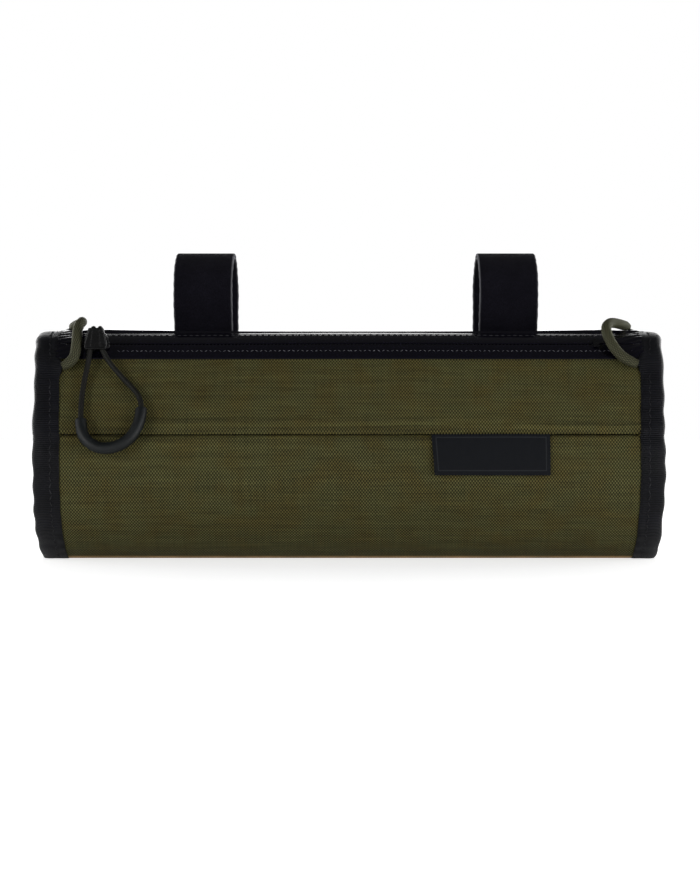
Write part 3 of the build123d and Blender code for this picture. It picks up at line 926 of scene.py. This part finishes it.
def hood_relief():
    """The raised rim round the hood's face, and two ribs down it. Its face leans with the cord."""
    cosine, sine = math.cos(HOOD_LEAN), math.sin(HOOD_LEAN)
    face, up = HOOD_CENTRE + HOOD_FRONT * np.array((0, -cosine, sine)), np.array((0, sine, cosine))
    side = [(3.4, -7.5), (4.2, -7.2), (4.4, -5.2), (3.0, 0.2), (2.7, 1.0)]
    rim = [(-x, y) for x, y in reversed(side)] + [(0, -7.55)] + side
    ribs = [[(k * 1.5, 0.6), (k * 1.7, -3), (k * 2.1, -6.8)] for k in (-1, 1)]
    shells = []
    for line, radius in zip([rim, *ribs], (0.34, 0.26, 0.26)):
        route = [face + (x * MM, 0, 0) + y * MM * up for x, y in line]
        path = cord_path(route, 0.3 * MM)
        shells.append(tube_shell(path, np.full((len(path), 10), radius * MM), 10))
    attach(build("hood_ribs", shells, HOOD, sharp=40), "pull")


def cord_loops():
    for name, _ in SIDES:
        path = cord_path(LOOP_ROUTES[name], 0.25 * MM)
        at = along(path)
        end = np.minimum(at, at[-1] - at)
        radii = braided(path, LOOP_DIAMETER / 2, 7, 4.4 * MM, 0.32 * MM, 36)
        radii = radii * (0.8 + 0.2 * smooth(end / (4 * MM)))[:, None]
        shell = tube_shell(path, radii, 36)
        cord = build(f"loop_braid_{name}", [shell], LOOP_BRAID, sharp=180)
        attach(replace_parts(cord, f"cord_loop_{name}"), f"{name}_loop")


# ---- straps --------------------------
BAR = np.array((24.0, 112.0)) * MM
BAR_RADIUS = 16.0 * MM
STRAP_THICK = 1.2 * MM
LEAN = 20.0  # degrees by which the straps lean back, down from the bar
STRAP_BACK = 38.6 * MM
STRAP_BOTTOM = 66.0 * MM


def round_bar(radius, first, last):
    angle = np.radians(np.linspace(first, last, 70))
    return BAR + radius * np.stack([np.cos(angle), np.sin(angle)], axis=1)


def line_between(a, b, step=0.7 * MM):
    count = max(int(np.linalg.norm(np.array(b) - a) / step), 2)
    return np.linspace(a, b, count, endpoint=False)


def strap_line():
    """The middle of the band, round the bar, down to the bag, back under the webbing and up again."""
    mid = BAR_RADIUS + STRAP_THICK / 2
    bend = round_bar(mid, 0, 180 + LEAN)
    down = toward(-90 - LEAN)
    skin = np.linspace(-10.5 * MM, -at_height(STRAP_BOTTOM + 1 * MM), 60)
    y, z, ny, nz = section(skin)
    grow = 0.2 * MM + STRAP_THICK / 2
    lying = np.stack([y + grow * ny, z + grow * nz], axis=1)
    drop = (bend[-1][1] - (TOP + 1.6 * MM)) / -down[1]
    foot = bend[-1] + down * drop
    corner = np.array((STRAP_BACK + STRAP_THICK / 2, STRAP_BOTTOM - 0.4 * MM))
    lines = [bend, line_between(bend[-1], foot), line_between(foot, lying[0]), lying,
             line_between(lying[-1], corner), line_between(corner, bend[0])]
    line = resampled(np.concatenate([*lines, bend[:1]]), 300, endpoint=False)
    for _ in range(4):
        line = 0.5 * line + 0.25 * (np.roll(line, 1, axis=0) + np.roll(line, -1, axis=0))
    return line


def strap_shell(line, centre, closed, tilt):
    """A flat strap along a line in the YZ plane, with rounded, slightly uneven edges."""
    if closed:
        ahead = np.roll(line, -1, axis=0) - np.roll(line, 1, axis=0)
    else:
        ahead = np.gradient(line, axis=0)
    ahead = unit(ahead)
    out = np.stack([ahead[:, 1], -ahead[:, 0]], axis=1)
    across = np.array([-1, -0.985, -0.95, -0.6, -0.2, 0.2, 0.6, 0.95, 0.985, 1]) * STRAP_HALF
    height = np.array([0.12, 0.34, 0.5, 0.5, 0.5, 0.5, 0.5, 0.5, 0.34, 0.12]) * STRAP_THICK
    across, height = np.concatenate([across, across[::-1]]), np.concatenate([height, -height[::-1]])
    n = len(line)
    far = np.arange(n) * 0.7 * MM
    wobble = 0.06 * MM * np.sin(far / 0.0009) + 0.05 * MM * np.sin(far / 0.0037 + centre * 90)
    edge = np.where(np.abs(across) > 0.97 * STRAP_HALF, 1.0, 0.0)
    x = centre + across[None] + edge[None] * wobble[:, None] * np.sign(across)[None]
    x = x + tilt * (line[:, :1] - BAR[0])
    yz = line[:, None] + out[:, None] * height[None, :, None]
    rings = np.concatenate([x[..., None], yz], axis=-1)
    u, v = np.arange(n + 1) * 0.7 * MM, np.append(across, across[0])
    points, faces, uvs = grid(rings, u, v, close_i=closed, close_j=True)
    if not closed:
        cap_faces, cap_uvs = ring_caps(rings, u, v)
        faces, uvs = faces + cap_faces, np.concatenate([uvs, cap_uvs])
    return points, faces, uvs


def straps():
    band = strap_line()
    for name, side in SIDES:
        low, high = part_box(f"strap_band_{name}")
        centre = (low.x + high.x) / 2
        shell = strap_shell(band, centre, True, -side * 0.03)
        piece = build(f"strap_pile_{name}", [shell], PILE)
        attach(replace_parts(piece, f"strap_band_{name}"), "bag")
        near, far = BAR_RADIUS + STRAP_THICK * 1.05, BAR_RADIUS + STRAP_THICK * 1.5 + 0.1 * MM
        bend = round_bar(1.0, 78, 180 + LEAN) - BAR
        rise = smooth(np.linspace(0, 9, len(bend)))
        bend = BAR + bend * (near + (far - near) * rise)[:, None]
        tail_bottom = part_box(f"strap_tail_{name}")[0].z - 2 * MM
        down = toward(-90 - LEAN)
        foot = bend[-1] + down * ((bend[-1][1] - tail_bottom) / -down[1])
        line = np.concatenate([bend, line_between(bend[-1], foot), foot[None]])
        shell = strap_shell(line, centre, False, -side * 0.03)
        piece = build(f"strap_end_{name}", [shell], PILE)
        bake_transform(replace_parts(piece, f"strap_tail_{name}"))


# ---- webbing -------------------------
web_low, web_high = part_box("rear_webbing")
WEB_THICK = 1.4 * MM
TUNNEL_HALF = 14.0 * MM
STRAP_CENTRES = [sum(c.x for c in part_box(f"strap_band_{name}")) / 2 for name, _ in SIDES]
TACKS = sorted([-111.8 * MM, -19 * MM, 2.5 * MM, 24 * MM, 111.8 * MM]
               + [c + side * (TUNNEL_HALF + 4 * MM) for c in STRAP_CENTRES for side in (-1, 1)])
WEB_TOP, WEB_BOTTOM = -front_tilt(55), -at_height(web_low.z + 0.3 * MM)


def web_lift(x, s):
    """The webbing lies flat, arches over each strap, and is pulled down at its tacks."""
    over = sum(1 - smooth((abs(x - c) - TUNNEL_HALF + 1 * MM) / (3 * MM)) for c in STRAP_CENTRES)
    pinch = sum(hump(x - c, 2.2 * MM) for c in TACKS)
    return WEB_THICK + 0.3 * MM + 1.3 * MM * over - 0.2 * MM * pinch


def webbing():
    xs = np.linspace(web_low.x, web_high.x, 240)
    ss = np.linspace(WEB_BOTTOM, WEB_TOP, 26)
    piece = build("webbing_ladder", [sheet_shell(xs, ss, WEB_THICK, web_lift)], WEBBING)
    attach(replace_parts(piece, "rear_webbing"), "bag")
    shells = []
    for centre in TACKS:
        ss = np.arange(WEB_BOTTOM + 1.2 * MM, WEB_TOP - 1.2 * MM, 0.62 * MM)
        g = web_lift(centre + 0 * ss, ss)
        starts, ends = place(centre - 1.1 * MM, ss, g), place(centre + 1.1 * MM, ss + 0.3 * MM, g)
        shells.append(stitch_shell(starts, ends, normals(centre, ss), 0.24 * MM, 0.12 * MM))
    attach(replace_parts(build("bartack_stitches", shells, THREAD), "webbing_bartacks"), "bag")


# ---- label ---------------------------
def label():
    low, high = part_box("label_tab")
    first, last = SEAM + 0.4 * MM, at_height(low.z)

    def lift(x, s):
        hang = (s - first) / (last - first)
        return 0.95 * MM + 0.9 * MM * hang**2 + 0.12 * MM * np.sin(x / 0.008)

    def skew(x, s):
        return 1.2 * MM * (s - first) / (last - first) * (high.x - x) / (high.x - low.x)

    xs, ss = np.linspace(low.x, high.x, 50), np.linspace(first, last, 24)
    shell = sheet_shell(xs, ss, 0.7 * MM, lift, skew)
    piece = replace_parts(build("label_cloth", [shell], LABEL), "label_tab")
    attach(piece, "label")


# ---- studio --------------------------
def studio():
    mesh, far = bpy.data.meshes.new("floor"), 30.0
    mesh.from_pydata([(-far, -far, 0), (far, -far, 0), (far, far, 0), (-far, far, 0)], [], [(0, 1, 2, 3)])
    look = Look("pale_floor")
    paper = look.mix(look.noise(3.0), (0.80, 0.80, 0.80), (0.84, 0.84, 0.84))
    glow = {"Emission Color": (1, 1, 1), "Emission Strength": look.span(look.seen(), 0, 1, 0.14, 0.68)}
    mesh.materials.append(look.finish(paper, 0.9, others=glow))
    put("floor", mesh)


def lamp(name, at, aim, size, power):
    light = bpy.data.lights.new(name, "AREA")
    light.size, light.energy = size, power
    holder = put(name, light)
    holder.location = at
    holder.rotation_euler = (Vector(aim) - Vector(at)).to_track_quat("-Z", "Y").to_euler()


def world():
    """White behind everything. As light, it is bright low down behind the bag and dim elsewhere."""
    made = bpy.data.worlds.new("studio")
    bpy.context.scene.world = made
    sky = Nodes(made)
    _, forward, up = sky.add("SeparateXYZ", {0: sky.add("TexCoord").outputs[0]}).outputs
    low, behind = sky.span(up, 0.30, 0.62, 1.0, 0.0), sky.span(forward, -0.2, 0.5, 0.22, 4.0)
    glow = sky.math("MULTIPLY_ADD", low, behind, 0.06)
    background = sky.tree.nodes["Background"].inputs
    sky.plug(background["Color"], (1, 1, 1))
    sky.plug(background["Strength"], sky.add("Mix", {0: sky.seen(), 2: glow, 3: 1.0}).outputs[0])


def camera():
    cam = bpy.data.cameras.new("camera")
    cam.sensor_width, cam.lens = 36.0, 87.4
    cam.clip_end = 100
    holder = put("camera", cam)
    holder.location = (0, -0.900, 0.0505)
    holder.rotation_euler = (math.radians(90), 0, 0)
    bpy.context.scene.camera = holder
    bpy.context.scene.view_settings.view_transform = "Standard"


camera()
world()
studio()
lamp("key", (-0.80, -0.70, 0.22), (0, 0, 0.05), 0.26, 2.3)
lamp("fill", (0.70, -0.54, 0.07), (0.04, 0, 0.05), 0.5, 3.5)
pull()
hood_relief()
cord_loops()
main_panel()
front_panels()
mouth_linings()
stuffing()
end_panels()
for name, side in SIDES:
    binding(name, side)
    binding_stitches(name, side)
tapes()
tape_stitches()
coils()
slider()
straps()
webbing()
label()
for kept, look in (("zip_end_stops", METAL), ("zip_pull_hood", HOOD)):
    frame["nodes"][kept].data.materials.clear()
    frame["nodes"][kept].data.materials.append(look)
